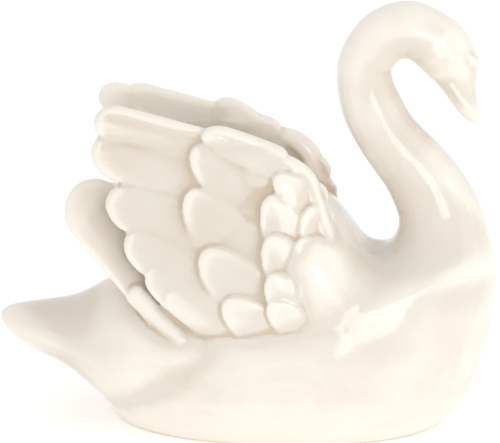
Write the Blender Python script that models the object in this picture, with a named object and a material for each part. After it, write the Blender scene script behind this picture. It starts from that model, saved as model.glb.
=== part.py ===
# A glazed ceramic swan ornament, cast in one piece with its wings raised.
#
# The swan faces +X and +Z is up. The origin is the middle of the flat underside.
# The forms are closed shapes pulled out of spheres and a cube. They overlap,
# and one voxel remesh joins them, as a caster's clay would.

import collections
import math

import bmesh
import bpy
import numpy as np
from mathutils import Vector

# Driving sizes, in metres.
LENGTH = 0.201
CAST_VOXEL = 0.0009
FEATHER_PROUD = 0.0024
FEATHER_THICKNESS = 0.0054
WING_WALL = 0.0062

# The pose and the proportions below count in this unit, which is one
# millimetre on a swan 201 mm long.
UNIT = LENGTH / 201.0

# How many rings and sides each kind of closed form is meshed with.
BODY_MESHES = (48, 64)
SLICED_MESHES = (44, 40)
NECK_MESHES = (120, 36)
BALL_MESHES = (12, 16)
FOLDED_MESHES = (28, 20)
ROLL_MESHES = (40, 20)

# Swept forms: the step that reads the curve's direction, and how long the
# round ends are, both as shares of the curve.
NECK_STEP = 0.004
NECK_END = 0.02
ROLL_STEP = 0.01
ROLL_END = 0.06

# How many balls make each ridge of the head.
EYE_BALLS = 5
BROW_BALLS = 9
BILL_EDGE_BALLS = 25

# How sharply the flank turns from the hull's curve to the straight rump.
RUMP_BLEND = 8.0

# How the net's rim is drawn to the outline: the step that reads the slope, the
# least slope counted, and the rounds.
RIM_NUDGE = 0.05
RIM_LEAST_SLOPE = 0.25
RIM_ROUNDS = 3

# The two sides, as signs along Y.
RIGHT = -1.0
LEFT = 1.0

# The fillets where the large masses meet: the masses are joined in coarse clay
# and worn until every inner corner is round.
FILLET_VOXEL = 0.0022
FILLET_ROUNDS = 45
NECK_FOOT_STATIONS = 8

# How the joined clay is finished.
SOFTENING_FACTOR = 0.5
SOFTENING_ROUNDS = 3
FACET_SHARE = 0.034

# Level slices of the body: height, rear end, front end, half width.
BODY_SLICES = (
    (-7.0, -60.0, 59.0, 33.0),
    (0.0, -66.5, 64.5, 38.0),
    (8.3, -73.0, 73.2, 42.6),
    (16.0, -76.0, 77.6, 44.9),
    (28.8, -76.0, 82.0, 44.8),
    (39.4, -74.0, 84.5, 42.7),
    (50.0, -66.0, 86.2, 39.8),
    (57.0, -50.0, 86.4, 36.8),
    (62.5, -14.0, 86.2, 32.6),
    (67.0, 32.0, 85.7, 28.3),
    (70.5, 40.5, 85.2, 25.1),
    (74.0, 44.2, 84.2, 22.4),
    (78.0, 46.0, 83.0, 20.2),
    (83.0, 46.8, 81.2, 18.2),
    (88.0, 46.2, 78.6, 16.6),
    (94.0, 44.8, 74.4, 14.6),
)
BODY_PLAN_POWER = 2.15

# Upright slices of the tail: place along X, lowest, highest, half width.
TAIL_SLICES = (
    (-114.4, 38.6, 41.6, 2.2),
    (-112.0, 34.6, 43.7, 6.5),
    (-108.0, 31.4, 44.6, 10.5),
    (-102.7, 28.3, 45.2, 14.5),
    (-95.4, 25.3, 45.8, 19.0),
    (-86.0, 21.4, 47.0, 23.5),
    (-78.0, 14.5, 51.0, 27.5),
    (-70.0, 6.5, 56.5, 31.2),
    (-58.0, 0.0, 61.0, 35.6),
    (-45.0, 0.0, 63.0, 38.4),
    (-30.0, 4.0, 63.0, 40.4),
    (-15.0, 12.0, 60.0, 40.0),
)
TAIL_POWER = 2.0

# Upright slices of the saddle, the smooth mass that joins both wings and
# falls to the neck and to the rump: place along X, lowest, highest, half width.
SADDLE_SLICES = (
    (62.0, 34.0, 44.0, 12.0),
    (52.0, 28.0, 51.0, 20.0),
    (42.0, 20.0, 60.0, 28.0),
    (34.0, 20.0, 71.4, 34.5),
    (25.0, 20.0, 85.6, 38.6),
    (14.0, 20.0, 95.3, 40.2),
    (4.0, 20.0, 96.5, 39.0),
    (-8.0, 20.0, 91.5, 36.5),
    (-25.0, 20.0, 80.0, 34.0),
    (-45.0, 20.0, 68.0, 30.0),
    (-60.0, 24.0, 59.0, 25.0),
    (-74.0, 28.0, 48.0, 16.0),
)
SADDLE_POWER = 2.6

# Neck and head, from deep in the breast to the bill's tip: place along X,
# height, half thickness as seen from the side, half width across.
NECK_STATIONS = (
    (60.0, 52.0, 24.0, 26.0),
    (63.5, 64.0, 21.5, 22.0),
    (65.2, 74.0, 19.0, 19.0),
    (64.0, 83.2, 17.0, 17.0),
    (59.5, 93.7, 15.6, 15.2),
    (53.0, 103.6, 13.9, 13.6),
    (47.0, 110.6, 12.9, 12.6),
    (41.0, 118.3, 12.2, 12.0),
    (35.6, 128.0, 12.0, 11.7),
    (32.4, 138.0, 11.1, 11.1),
    (32.6, 147.5, 10.7, 10.8),
    (39.0, 156.8, 11.0, 10.8),
    (48.2, 160.2, 11.3, 10.8),
    (56.0, 157.6, 11.2, 10.6),
    (62.3, 152.6, 11.4, 10.4),
    (66.6, 146.0, 10.3, 9.2),
    (68.9, 139.8, 7.6, 7.2),
    (70.6, 134.6, 5.7, 5.7),
    (72.6, 130.2, 4.5, 5.0),
    (74.9, 126.6, 3.4, 4.3),
    (76.7, 124.0, 1.9, 2.8),
)

# The wing's outer face lies on the body's flank up to WING_LOW and closes in
# above it, to WING_TOP_SPREAD from the middle plane WING_RISE higher up.
WING_ON_FLANK = 0.8
RUMP_SPREAD = 32.0
WING_LOW = 42.0
WING_RISE = 76.0
WING_TOP_SPREAD = 22.0
WING_CLOSING_POWER = 1.3
WING_FRONT = 0.0
WING_FRONT_CURVE = 0.018

# The plate behind the feathers, by its four corners: place along X, height.
PLATE_LOW_REAR = (-42.0, 38.0)
PLATE_LOW_FRONT = (9.0, 36.0)
PLATE_TOP_FRONT = (11.0, 107.0)
PLATE_TOP_REAR = (-64.0, 127.5)
PLATE_DEPTH = 0.8

# The net that a wing is modelled on: its corners and how wide its meshes are.
NET_LOW = (-94.0, 34.0)
NET_HIGH = (20.0, 136.0)
NET_STEP = 0.6

# How a feather's edges are rounded, and how the wing's own rim is.
EDGE_RADIUS = 2.0
EDGE_DROP = 1.4
RIM_RADIUS = 2.6
RIM_DROP = 1.2
RIM_RISE = 2.4
INNER_SLOPE = 22.0
INNER_FULL_FRONT = -8.0

# The relief sinks into the shoulder in front of WING_SINK_FRONT and into the
# flank below WING_SINK_LOW, by these shares of the distance squared.
WING_SINK_FRONT = 6.0
WING_SINK_LOW = 64.0
FRONT_SINK = 0.018
LOW_SINK = 0.011

# The roll along the wing's front edge, from its top down to the shoulder:
# place along X, height, how deep its middle lies inside the face, radius.
WING_ROLL = (
    (-9.0, 114.0, 3.2, 2.6),
    (-3.0, 112.2, 3.2, 3.4),
    (4.0, 109.6, 3.6, 4.0),
    (9.8, 104.6, 4.4, 4.2),
    (12.4, 97.0, 5.2, 4.8),
    (15.0, 88.0, 6.0, 5.2),
    (18.5, 78.0, 7.6, 5.2),
)

# Feathers, row by row: tip along X, tip height, heading above the level line
# to the rear in degrees, length, width.
FLIGHT_ROW = (
    (-73.8, 115.6, 11.5, 80.0, 21.0),
    (-67.8, 96.8, 18.0, 70.0, 21.0),
    (-60.2, 82.4, 28.0, 56.0, 20.0),
    (-51.6, 70.2, 34.0, 44.0, 17.0),
    (-44.0, 62.6, 38.0, 32.0, 12.5),
)
LONG_COVERT_ROW = (
    (-34.0, 117.2, 38.0, 42.0, 20.0),
    (-35.2, 101.2, 52.0, 42.0, 22.0),
    (-29.6, 78.6, 43.0, 38.0, 21.0),
    (-20.6, 60.4, 40.0, 32.0, 18.0),
)
MIDDLE_COVERT_ROW = (
    (-2.0, 107.2, 34.0, 24.0, 13.0),
    (-4.2, 100.0, 62.0, 32.0, 18.0),
    (-3.6, 85.4, 60.0, 30.0, 18.0),
    (-3.0, 71.0, 54.0, 28.0, 17.0),
    (-3.0, 60.8, 46.0, 22.0, 13.5),
)
SMALL_COVERT_ROW = (
    (12.0, 95.8, 70.0, 16.0, 16.0),
    (8.6, 84.4, 62.0, 18.0, 17.0),
    (10.2, 71.8, 58.0, 16.0, 16.0),
)

# The topmost flight feathers and long covert of each wing. They were laid by
# hand, and the left wing's stand a little differently.
TOP_FLIGHTS = {
    RIGHT: (
        (-72.6, 127.4, 14.5, 74.0, 16.0),
    ),
    LEFT: (
        (-75.8, 128.0, 14.0, 76.0, 14.0),
        (-65.4, 128.4, 14.5, 66.0, 13.0),
    ),
}
TOP_COVERT = {
    RIGHT: (-30.4, 122.6, 21.0, 36.0, 11.5),
    LEFT: (-28.6, 125.2, 33.0, 30.0, 13.0),
}

# How a row's feathers stand. In millimetres: how far behind the tip they have
# sunk to the wing's face, how fast their own shape fades to the root, how far
# the middle is domed, and how deep a groove runs along the upper half. As a
# share of the relief: how far the tip stands out. As shares of the width: how
# long the tip's curve is, and how far the feather turns about its length.
RowStyle = collections.namedtuple("RowStyle", "fall fade dome groove lift tip tilt")
TOP_FLIGHT_STYLE = RowStyle(fall=70.0, fade=60.0, dome=1.5, groove=0.9, lift=1.0, tip=0.62, tilt=0.03)
FLIGHT_STYLE = RowStyle(fall=52.0, fade=26.0, dome=1.3, groove=0.0, lift=1.0, tip=0.7, tilt=0.05)
TOP_COVERT_STYLE = RowStyle(fall=44.0, fade=30.0, dome=1.1, groove=0.5, lift=1.0, tip=0.8, tilt=0.06)
LONG_COVERT_STYLE = RowStyle(fall=24.0, fade=15.0, dome=1.1, groove=0.0, lift=1.25, tip=1.05, tilt=0.13)
MIDDLE_COVERT_STYLE = RowStyle(fall=17.0, fade=9.0, dome=0.8, groove=0.0, lift=1.0, tip=0.95, tilt=0.11)
SMALL_COVERT_STYLE = RowStyle(fall=13.0, fade=8.0, dome=0.7, groove=0.0, lift=0.9, tip=0.9, tilt=0.08)
GROOVE_PLACE = 0.22
GROOVE_WIDTH = 0.13

# How square the cross section of a folded feather is.
FEATHER_POWER = 2.6

# The long feather folded below the fan: tip along X, tip height, heading,
# length, width, then how far the tip and the root lie inside the wing's face.
# The left one was laid lower. Their upper edges dip in behind the fan.
FOLDED_FEATHER = {
    RIGHT: (-81.6, 98.6, 49.0, 82.0, 21.0, 9.5, 6.5),
    LEFT: (-75.0, 91.1, 49.0, 72.0, 21.0, 9.5, 6.5),
}
FOLDED_TILT = 0.8
FOLDED_TIP = 0.62

# The folded feather's root curve and how far its root sinks, as shares of its
# length and of how proud it stands, and how its thickness follows its width.
FOLDED_ROOT = 0.2
FOLDED_SINK = 1.9
FOLDED_THINNING = 0.6

# Clay that fills the slit behind the folded feather's root: x and z where it
# starts and ends, how deep its middle lies, its radius and its count of balls.
ROOT_FILL_START = (-56.0, 58.0)
ROOT_FILL_END = (-38.0, 42.0)
ROOT_FILL_DEPTH = 4.6
ROOT_FILL_RADIUS = 4.4
ROOT_FILL_BALLS = 12

# Eye, knob and brow on the head.
EYE_START = (58.8, 155.8, 8.9)
EYE_END = (61.7, 151.9, 8.8)
EYE_RADIUS = 1.9
BROW_START = (62.4, 159.0, 7.0)
BROW_END = (73.4, 148.6, 4.4)
BROW_RADIUS = 2.6
KNOB = (72.6, 147.4, 0.0)
KNOB_RADIUS = 4.4
BILL_EDGE_START = (66.0, 140.4, 6.7)
BILL_EDGE_END = (75.2, 126.6, 3.5)
BILL_EDGE_RADIUS = 1.2

GLAZE_COLOUR = (0.86, 0.80, 0.71, 1.0)
GLAZE_ROUGHNESS = 0.12

CUTTER_MARGIN = 20.0


def clear_scene():
    """Remove every object that the file starts with."""
    for thing in list(bpy.data.objects):
        bpy.data.objects.remove(thing, do_unlink=True)


def curve_through(rows, share):
    """Read a smooth curve through rows of numbers, at a share from 0 to 1."""
    spans = len(rows) - 1
    place = min(max(share, 0.0), 1.0) * spans
    index = min(int(place), spans - 1)
    part = place - index
    before = rows[max(index - 1, 0)]
    start = rows[index]
    end = rows[index + 1]
    after = rows[min(index + 2, spans)]
    return [
        0.5 * (
            2.0 * b
            + (c - a) * part
            + (2.0 * a - 5.0 * b + 4.0 * c - d) * part ** 2
            + (3.0 * b - a - 3.0 * c + d) * part ** 3
        )
        for a, b, c, d in zip(before, start, end, after)
    ]


def curve_near(rows, share):
    """Read a curve that passes close by rows of numbers, with no kinks in its bend."""
    spans = len(rows) - 1
    place = min(max(share, 0.0), 1.0) * spans
    index = min(int(place), spans - 1)
    part = place - index
    start = rows[index]
    end = rows[index + 1]
    before = rows[index - 1] if index > 0 else [2.0 * a - b for a, b in zip(start, end)]
    after = rows[index + 2] if index + 2 <= spans else [2.0 * b - a for a, b in zip(start, end)]
    return [
        (
            a * (1.0 - part) ** 3
            + b * (3.0 * part ** 3 - 6.0 * part ** 2 + 4.0)
            + c * (-3.0 * part ** 3 + 3.0 * part ** 2 + 3.0 * part + 1.0)
            + d * part ** 3
        ) / 6.0
        for a, b, c, d in zip(before, start, end, after)
    ]


def add_form(bm, form):
    """Add one finished closed form to the forms that will be joined."""
    carrier = bpy.data.meshes.new("form")
    form.to_mesh(carrier)
    form.free()
    bm.from_mesh(carrier)
    bpy.data.meshes.remove(carrier)


def pulled_sphere(bm, rings, sides, place):
    """Add a sphere whose points go to place(share from pole to pole, angle)."""
    form = bmesh.new()
    bmesh.ops.create_uvsphere(form, u_segments=sides, v_segments=rings, radius=1.0)
    for vert in form.verts:
        share = math.acos(min(max(-vert.co.z, -1.0), 1.0)) / math.pi
        vert.co = place(share, math.atan2(vert.co.y, vert.co.x))
    add_form(bm, form)


def signed_power(value, power):
    """Raise a size to a power and keep its sign."""
    return math.copysign(abs(value) ** power, value)


def add_body(bm):
    """The hull, wide and round at the breast, with level slices."""
    last = len(BODY_SLICES) - 1

    def place(share, angle):
        inner = min(max((share * (last + 2) - 1.0) / last, 0.0), 1.0)
        height, rear, front, half_width = curve_near(BODY_SLICES, inner)
        closing = min(1.0, share * (last + 2), (1.0 - share) * (last + 2))
        power = 2.0 / BODY_PLAN_POWER
        middle = 0.5 * (rear + front)
        x = middle + closing * 0.5 * (front - rear) * signed_power(math.cos(angle), power)
        y = closing * half_width * signed_power(math.sin(angle), power)
        return Vector((x, y, height)) * UNIT

    pulled_sphere(bm, *BODY_MESHES, place)


def add_upright_slices(bm, slices, power):
    """A closed form through upright oval slices, such as the tail."""
    last = len(slices) - 1
    bend = 2.0 / power

    def place(share, angle):
        inner = min(max((share * (last + 2) - 1.0) / last, 0.0), 1.0)
        x, low, high, half_width = curve_near(slices, inner)
        closing = min(1.0, share * (last + 2), (1.0 - share) * (last + 2))
        middle = 0.5 * (low + high)
        z = middle + closing * (high - middle) * signed_power(math.sin(angle), bend)
        y = closing * half_width * signed_power(math.cos(angle), bend)
        return Vector((x, y, z)) * UNIT

    pulled_sphere(bm, *SLICED_MESHES, place)


def add_neck_and_head(bm, stations):
    """The neck, head and bill, swept along one curve in the middle plane."""
    step = NECK_STEP

    def place(share, angle):
        x, z, thick, wide = curve_through(stations, share)
        behind = curve_through(stations, share - step)
        ahead = curve_through(stations, share + step)
        along = Vector((ahead[0] - behind[0], 0.0, ahead[1] - behind[1])).normalized()
        outward = Vector((-along.z, 0.0, along.x))
        closing = min(1.0, math.sqrt(max(share, 0.0) / NECK_END), math.sqrt(max(1.0 - share, 0.0) / NECK_END))
        point = Vector((x, 0.0, z)) + outward * (closing * thick * math.sin(angle))
        point.y = closing * wide * math.cos(angle)
        return point * UNIT

    pulled_sphere(bm, *NECK_MESHES, place)


def ball(bm, centre, radius, stretch=(1.0, 1.0, 1.0)):
    """Add a ball, which may be stretched along X, Y and Z."""

    def place(share, angle):
        ring = math.sin(share * math.pi)
        return Vector((
            centre[0] + radius * stretch[0] * ring * math.cos(angle),
            centre[1] + radius * stretch[1] * ring * math.sin(angle),
            centre[2] - radius * stretch[2] * math.cos(share * math.pi),
        )) * UNIT

    pulled_sphere(bm, *BALL_MESHES, place)


def string_of_balls(bm, side, start, end, radius, count):
    """A straight ridge on one side of the head, as balls set close together."""
    for step in range(count):
        share = step / (count - 1)
        x, z, y = (a + (b - a) * share for a, b in zip(start, end))
        ball(bm, (x, side * y, z), radius)


def add_face(bm):
    """The eyes, the brows that run to the bill, the bill's edges and the knob."""
    for side in (RIGHT, LEFT):
        string_of_balls(bm, side, EYE_START, EYE_END, EYE_RADIUS, EYE_BALLS)
        string_of_balls(bm, side, BROW_START, BROW_END, BROW_RADIUS, BROW_BALLS)
        string_of_balls(bm, side, BILL_EDGE_START, BILL_EDGE_END, BILL_EDGE_RADIUS, BILL_EDGE_BALLS)
    ball(bm, (KNOB[0], KNOB[2], KNOB[1]), KNOB_RADIUS)


def flank(x):
    """The body's half width at the wing's foot, at places along X."""
    slices = BODY_SLICES
    upper = next(i for i, row in enumerate(slices) if row[0] > WING_LOW)
    low, high = slices[upper - 1], slices[upper]
    part = (WING_LOW - low[0]) / (high[0] - low[0])
    rear, front, half_width = (a + (b - a) * part for a, b in zip(low[1:], high[1:]))
    share = np.abs(2.0 * x - rear - front) / (front - rear)
    hull = half_width * np.maximum(1.0 - share ** BODY_PLAN_POWER, 0.0) ** (1.0 / BODY_PLAN_POWER)
    return (hull ** RUMP_BLEND + RUMP_SPREAD ** RUMP_BLEND) ** (1.0 / RUMP_BLEND)


def wing_face(x, z):
    """How far the wing's outer face stands from the middle plane, at places on it."""
    rise = np.clip((z - WING_LOW) / WING_RISE, 0.0, 1.0) ** WING_CLOSING_POWER
    low_reach = flank(x) + WING_ON_FLANK
    inset = WING_FRONT_CURVE * np.maximum(x - WING_FRONT, 0.0) ** 2 * rise
    return low_reach + (WING_TOP_SPREAD - low_reach) * rise - inset


def rounded(inset, radius):
    """1 on an outline, falling along a quarter circle to 0 at the radius inside it."""
    return 1.0 - np.sqrt(1.0 - (1.0 - np.clip(inset / radius, 0.0, 1.0)) ** 2)


def plate_inset(x, z):
    """How far inside the plate's outline places lie."""
    corners = (PLATE_LOW_REAR, PLATE_LOW_FRONT, PLATE_TOP_FRONT, PLATE_TOP_REAR)
    inset = np.full_like(x, np.inf)
    for start, end in zip(corners, corners[1:] + corners[:1]):
        run = Vector(end) - Vector(start)
        run.normalize()
        inset = np.minimum(inset, run.x * (z - start[1]) - run.y * (x - start[0]))
    return inset


def feather_relief(feather, style, x, z):
    """How far inside a feather's outline places lie, and how high the feather stands there."""
    tip_x, tip_z, heading, length, width = feather
    turn = math.radians(heading)
    behind_tip = (x - tip_x) * math.cos(turn) - (z - tip_z) * math.sin(turn)
    sideways = (x - tip_x) * math.sin(turn) + (z - tip_z) * math.cos(turn)
    off_tip = np.maximum(1.0 - behind_tip / (style.tip * width), 0.0)
    off_root = np.maximum(1.0 - (length - behind_tip) / (0.5 * width), 0.0)
    off_axis = np.abs(sideways) / (0.5 * width)
    inset = 0.5 * width * (1.0 - np.hypot(off_tip + off_root, off_axis))

    proud = style.lift * FEATHER_PROUD / UNIT
    fresh = np.exp(-np.maximum(behind_tip, 0.0) / style.fade)
    height = proud * (1.0 - behind_tip / style.fall)
    height -= fresh * style.tilt * sideways
    height -= fresh * style.dome * off_axis ** 2
    height -= fresh * style.groove * np.exp(-((sideways / width - GROOVE_PLACE) / GROOVE_WIDTH) ** 2)
    height -= fresh * EDGE_DROP * rounded(inset, EDGE_RADIUS)
    return inset, height


def wing_relief(side, x, z):
    """How far inside the wing's outline places lie, and how high its relief stands there."""
    inset = plate_inset(x, z)
    height = np.full_like(x, -PLATE_DEPTH)
    rows = (
        (TOP_FLIGHT_STYLE, TOP_FLIGHTS[side]),
        (FLIGHT_STYLE, FLIGHT_ROW),
        (TOP_COVERT_STYLE, (TOP_COVERT[side],)),
        (LONG_COVERT_STYLE, LONG_COVERT_ROW),
        (MIDDLE_COVERT_STYLE, MIDDLE_COVERT_ROW),
        (SMALL_COVERT_STYLE, SMALL_COVERT_ROW),
    )
    for style, row in rows:
        for feather in row:
            inside, stands = feather_relief(feather, style, x, z)
            height = np.where(inside > 0.0, np.maximum(height, stands), height)
            inset = np.maximum(inset, inside)
    height -= FRONT_SINK * np.maximum(x - WING_SINK_FRONT, 0.0) ** 2
    height -= LOW_SINK * np.maximum(WING_SINK_LOW - z, 0.0) ** 2
    return inset, height


def add_wing_wall(bm, side):
    """The wing's wall, on a net: feathers in relief outside, a plain face inside."""
    form = bmesh.new()
    span = [high - low for low, high in zip(NET_LOW, NET_HIGH)]
    meshes = [round(length / NET_STEP) for length in span]
    bmesh.ops.create_grid(form, x_segments=meshes[0], y_segments=meshes[1], size=0.5)
    for vert in form.verts:
        x = NET_LOW[0] + span[0] * (vert.co.x + 0.5)
        z = NET_LOW[1] + span[1] * (vert.co.y + 0.5)
        vert.co = Vector((x, 0.0, z))

    # Cut the net to the wing's outline.
    x, z = np.array([(vert.co.x, vert.co.z) for vert in form.verts]).T
    inset, _ = wing_relief(side, x, z)
    outer = [vert for vert, depth in zip(form.verts, inset) if depth < 0.0]
    bmesh.ops.delete(form, geom=outer, context="VERTS")
    rim = [vert for vert in form.verts if vert.is_boundary]
    x, z = np.array([(vert.co.x, vert.co.z) for vert in rim]).T
    nudge = RIM_NUDGE
    for _ in range(RIM_ROUNDS):
        inset, _ = wing_relief(side, x, z)
        slope_x = (wing_relief(side, x + nudge, z)[0] - inset) / nudge
        slope_z = (wing_relief(side, x, z + nudge)[0] - inset) / nudge
        steep = np.maximum(slope_x ** 2 + slope_z ** 2, RIM_LEAST_SLOPE)
        x = x - np.clip(inset * slope_x / steep, -NET_STEP, NET_STEP)
        z = z - np.clip(inset * slope_z / steep, -NET_STEP, NET_STEP)
    for vert, place_x, place_z in zip(rim, x, z):
        vert.co = Vector((place_x, 0.0, place_z))

    # Give it its two faces.
    x, z = np.array([(vert.co.x, vert.co.z) for vert in form.verts]).T
    inset, height = wing_relief(side, x, z)
    wall = WING_WALL / UNIT + PLATE_DEPTH
    thin = (FEATHER_THICKNESS - FEATHER_PROUD) / UNIT
    to_front = 1.0 + (x - INNER_FULL_FRONT) / INNER_SLOPE
    into_plate = np.clip(np.maximum(plate_inset(x, z) / INNER_SLOPE, to_front), 0.0, 1.0)
    back = -thin - (wall - thin) * into_plate ** 2 * (3.0 - 2.0 * into_plate)
    face = wing_face(x, z)
    front = face + height - RIM_DROP * rounded(inset, RIM_RADIUS)
    back = np.minimum(face + back + RIM_RISE * rounded(inset, RIM_RADIUS), front - NET_STEP)
    faces_at = {tuple(vert.co): (side * near, side * far) for vert, near, far in zip(form.verts, front, back)}
    grown = bmesh.ops.extrude_face_region(form, geom=form.faces[:], use_keep_orig=True)
    inner = {item for item in grown["geom"] if isinstance(item, bmesh.types.BMVert)}
    for vert in form.verts:
        vert.co.y = faces_at[tuple(vert.co)][vert in inner]
    bmesh.ops.scale(form, vec=(UNIT, UNIT, UNIT), verts=form.verts)
    add_form(bm, form)


def add_folded_feather(bm, side):
    """The feather folded below the fan: a long paddle with a round tip."""
    tip_x, tip_z, heading, length, width, tip_depth, root_depth = FOLDED_FEATHER[side]
    back = math.radians(heading)
    along = (-math.cos(back), math.sin(back))
    across = (math.sin(back), math.cos(back))
    proud = FEATHER_PROUD / UNIT
    thick = FEATHER_THICKNESS / UNIT
    bend = 2.0 / FEATHER_POWER
    round_tip = FOLDED_TIP * width / length

    def place(share, angle):
        run = 0.5 * (1.0 - math.cos(share * math.pi))
        to_tip = (1.0 - run) / round_tip
        to_root = run / FOLDED_ROOT
        swell = math.sqrt(max(0.0, 1.0 - (1.0 - min(to_tip, 1.0)) ** 2))
        swell *= math.sqrt(max(0.0, 1.0 - (1.0 - min(to_root, 1.0)) ** 2))
        sideways = 0.5 * width * swell * signed_power(math.cos(angle), bend)
        back_off = (run - 1.0) * length
        x = tip_x + along[0] * back_off + across[0] * sideways
        z = tip_z + along[1] * back_off + across[1] * sideways
        lift = proud * (1.0 - FOLDED_SINK * (1.0 - run)) - 0.5 * thick
        lift -= FOLDED_TILT * sideways + root_depth + (tip_depth - root_depth) * run
        y = wing_face(x, z) + lift + 0.5 * thick * swell ** FOLDED_THINNING * signed_power(math.sin(angle), bend)
        return Vector((x, side * y, z)) * UNIT

    pulled_sphere(bm, *FOLDED_MESHES, place)


def add_root_fill(bm, side):
    """Clay in the slit between the folded feather's root, the wing and the body."""
    for step in range(ROOT_FILL_BALLS):
        share = step / (ROOT_FILL_BALLS - 1)
        x, z = (a + (b - a) * share for a, b in zip(ROOT_FILL_START, ROOT_FILL_END))
        ball(bm, (x, side * (wing_face(x, z) - ROOT_FILL_DEPTH), z), ROOT_FILL_RADIUS)


def add_wing_roll(bm, side):
    """The smooth roll that ends the wing in front, as one bent tube."""
    step = ROLL_STEP

    def place(share, angle):
        x, z, depth, radius = curve_through(WING_ROLL, share)
        behind = curve_through(WING_ROLL, share - step)
        ahead = curve_through(WING_ROLL, share + step)
        along = Vector((ahead[0] - behind[0], 0.0, ahead[1] - behind[1])).normalized()
        upward = Vector((-along.z, 0.0, along.x))
        swell = min(1.0, math.sqrt(share / ROLL_END), math.sqrt(max(1.0 - share, 0.0) / ROLL_END))
        point = Vector((x, 0.0, z)) + upward * (radius * swell * math.sin(angle))
        point.y = side * (wing_face(x, z) - depth + radius * swell * math.cos(angle))
        return point * UNIT

    pulled_sphere(bm, *ROLL_MESHES, place)


def add_wing(bm, side):
    """One raised wing: its wall with the feathers, its front roll and the folded feathers."""
    add_wing_wall(bm, side)
    add_wing_roll(bm, side)
    add_folded_feather(bm, side)
    add_root_fill(bm, side)


def glaze_material():
    """Warm ivory glaze on a white casting body."""
    material = bpy.data.materials.new("ivory_glazed_ceramic")
    material.use_nodes = True
    shader = material.node_tree.nodes["Principled BSDF"]
    shader.inputs["Base Color"].default_value = GLAZE_COLOUR
    shader.inputs["Roughness"].default_value = GLAZE_ROUGHNESS
    shader.inputs["Metallic"].default_value = 0.0
    return material


def add_object(name, bm):
    """Turn a bmesh into an object of the scene."""
    bmesh.ops.recalc_face_normals(bm, faces=bm.faces)
    mesh = bpy.data.meshes.new(name)
    bm.to_mesh(mesh)
    bm.free()
    thing = bpy.data.objects.new(name, mesh)
    bpy.context.scene.collection.objects.link(thing)
    return thing


def add_underside_cutter():
    """The block that cuts the swan off flat at the surface it stands on."""
    bm = bmesh.new()
    size = LENGTH + 2.0 * CUTTER_MARGIN * UNIT
    bmesh.ops.create_cube(bm, size=size)
    bmesh.ops.translate(bm, verts=bm.verts, vec=(0.0, 0.0, -0.5 * size))
    cutter = add_object("underside_cutter", bm)
    cutter.hide_render = True
    cutter.display_type = "WIRE"
    return cutter


def remesh(thing, voxel_size):
    """Turn what overlaps into one even skin."""
    join = thing.modifiers.new("join", "REMESH")
    join.mode = "VOXEL"
    join.voxel_size = voxel_size
    join.use_smooth_shade = True


def smooth(thing, rounds):
    """Wear the skin down evenly."""
    soften = thing.modifiers.new("soften", "SMOOTH")
    soften.factor = SOFTENING_FACTOR
    soften.iterations = rounds


def add_masses(bm, neck_stations):
    """The body, the tail, the saddle and the neck, as far as it is asked for."""
    add_body(bm)
    add_upright_slices(bm, TAIL_SLICES, TAIL_POWER)
    add_upright_slices(bm, SADDLE_SLICES, SADDLE_POWER)
    add_neck_and_head(bm, neck_stations)


def add_fillets(bm):
    """Fill the inner corners between the masses with worn copies of them."""
    worn = bmesh.new()
    add_masses(worn, NECK_STATIONS[:NECK_FOOT_STATIONS])
    carrier = add_object("worn_masses", worn)
    remesh(carrier, FILLET_VOXEL)
    smooth(carrier, FILLET_ROUNDS)
    graph = bpy.context.evaluated_depsgraph_get()
    skin = bpy.data.meshes.new_from_object(carrier.evaluated_get(graph))
    bm.from_mesh(skin)
    bpy.data.objects.remove(carrier)
    bpy.data.meshes.remove(skin)


def build_swan():
    """Join all forms, soften the joints and cut the underside flat."""
    bm = bmesh.new()
    add_masses(bm, NECK_STATIONS)
    add_fillets(bm)
    add_face(bm)
    for side in (RIGHT, LEFT):
        add_wing(bm, side)
    swan = add_object("swan", bm)
    swan.data.materials.append(glaze_material())

    remesh(swan, CAST_VOXEL)
    smooth(swan, SOFTENING_ROUNDS)

    facet = swan.modifiers.new("facet", "DECIMATE")
    facet.ratio = FACET_SHARE

    flatten = swan.modifiers.new("flatten", "BOOLEAN")
    flatten.operation = "DIFFERENCE"
    flatten.solver = "EXACT"
    flatten.object = add_underside_cutter()
    return swan


def main():
    clear_scene()
    build_swan()


main()
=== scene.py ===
# The looks of a glazed ceramic swan ornament, laid out as an add-on.
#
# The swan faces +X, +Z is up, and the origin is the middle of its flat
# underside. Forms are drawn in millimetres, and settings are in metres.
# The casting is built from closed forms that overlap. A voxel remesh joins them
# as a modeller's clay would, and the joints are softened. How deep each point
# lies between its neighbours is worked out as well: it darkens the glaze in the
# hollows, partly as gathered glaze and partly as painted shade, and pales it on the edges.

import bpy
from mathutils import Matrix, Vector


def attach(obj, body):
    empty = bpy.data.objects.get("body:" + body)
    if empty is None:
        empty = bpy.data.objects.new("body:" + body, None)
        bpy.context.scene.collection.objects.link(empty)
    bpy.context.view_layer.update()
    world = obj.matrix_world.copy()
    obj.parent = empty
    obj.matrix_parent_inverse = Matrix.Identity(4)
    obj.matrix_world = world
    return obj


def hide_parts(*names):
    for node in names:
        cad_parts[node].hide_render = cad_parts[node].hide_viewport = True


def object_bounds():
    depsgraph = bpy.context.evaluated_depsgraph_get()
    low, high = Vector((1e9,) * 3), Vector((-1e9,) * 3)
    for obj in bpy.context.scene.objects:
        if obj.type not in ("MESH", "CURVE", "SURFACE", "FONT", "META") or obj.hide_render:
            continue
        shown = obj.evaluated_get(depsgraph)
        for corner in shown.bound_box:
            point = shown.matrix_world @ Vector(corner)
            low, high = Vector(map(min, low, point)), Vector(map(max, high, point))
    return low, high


bl_info = {
    "name": "Ceramic Swan",
    "version": (1, 0, 0),
    "blender": (4, 5, 0),
    "location": "View3D > Sidebar > Swan",
    "description": "Casts, glazes and lights a glazed ceramic swan ornament",
    "category": "Object",
}

import collections
import math

import bmesh
import bpy
import numpy as np
from mathutils import Matrix, Vector

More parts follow.
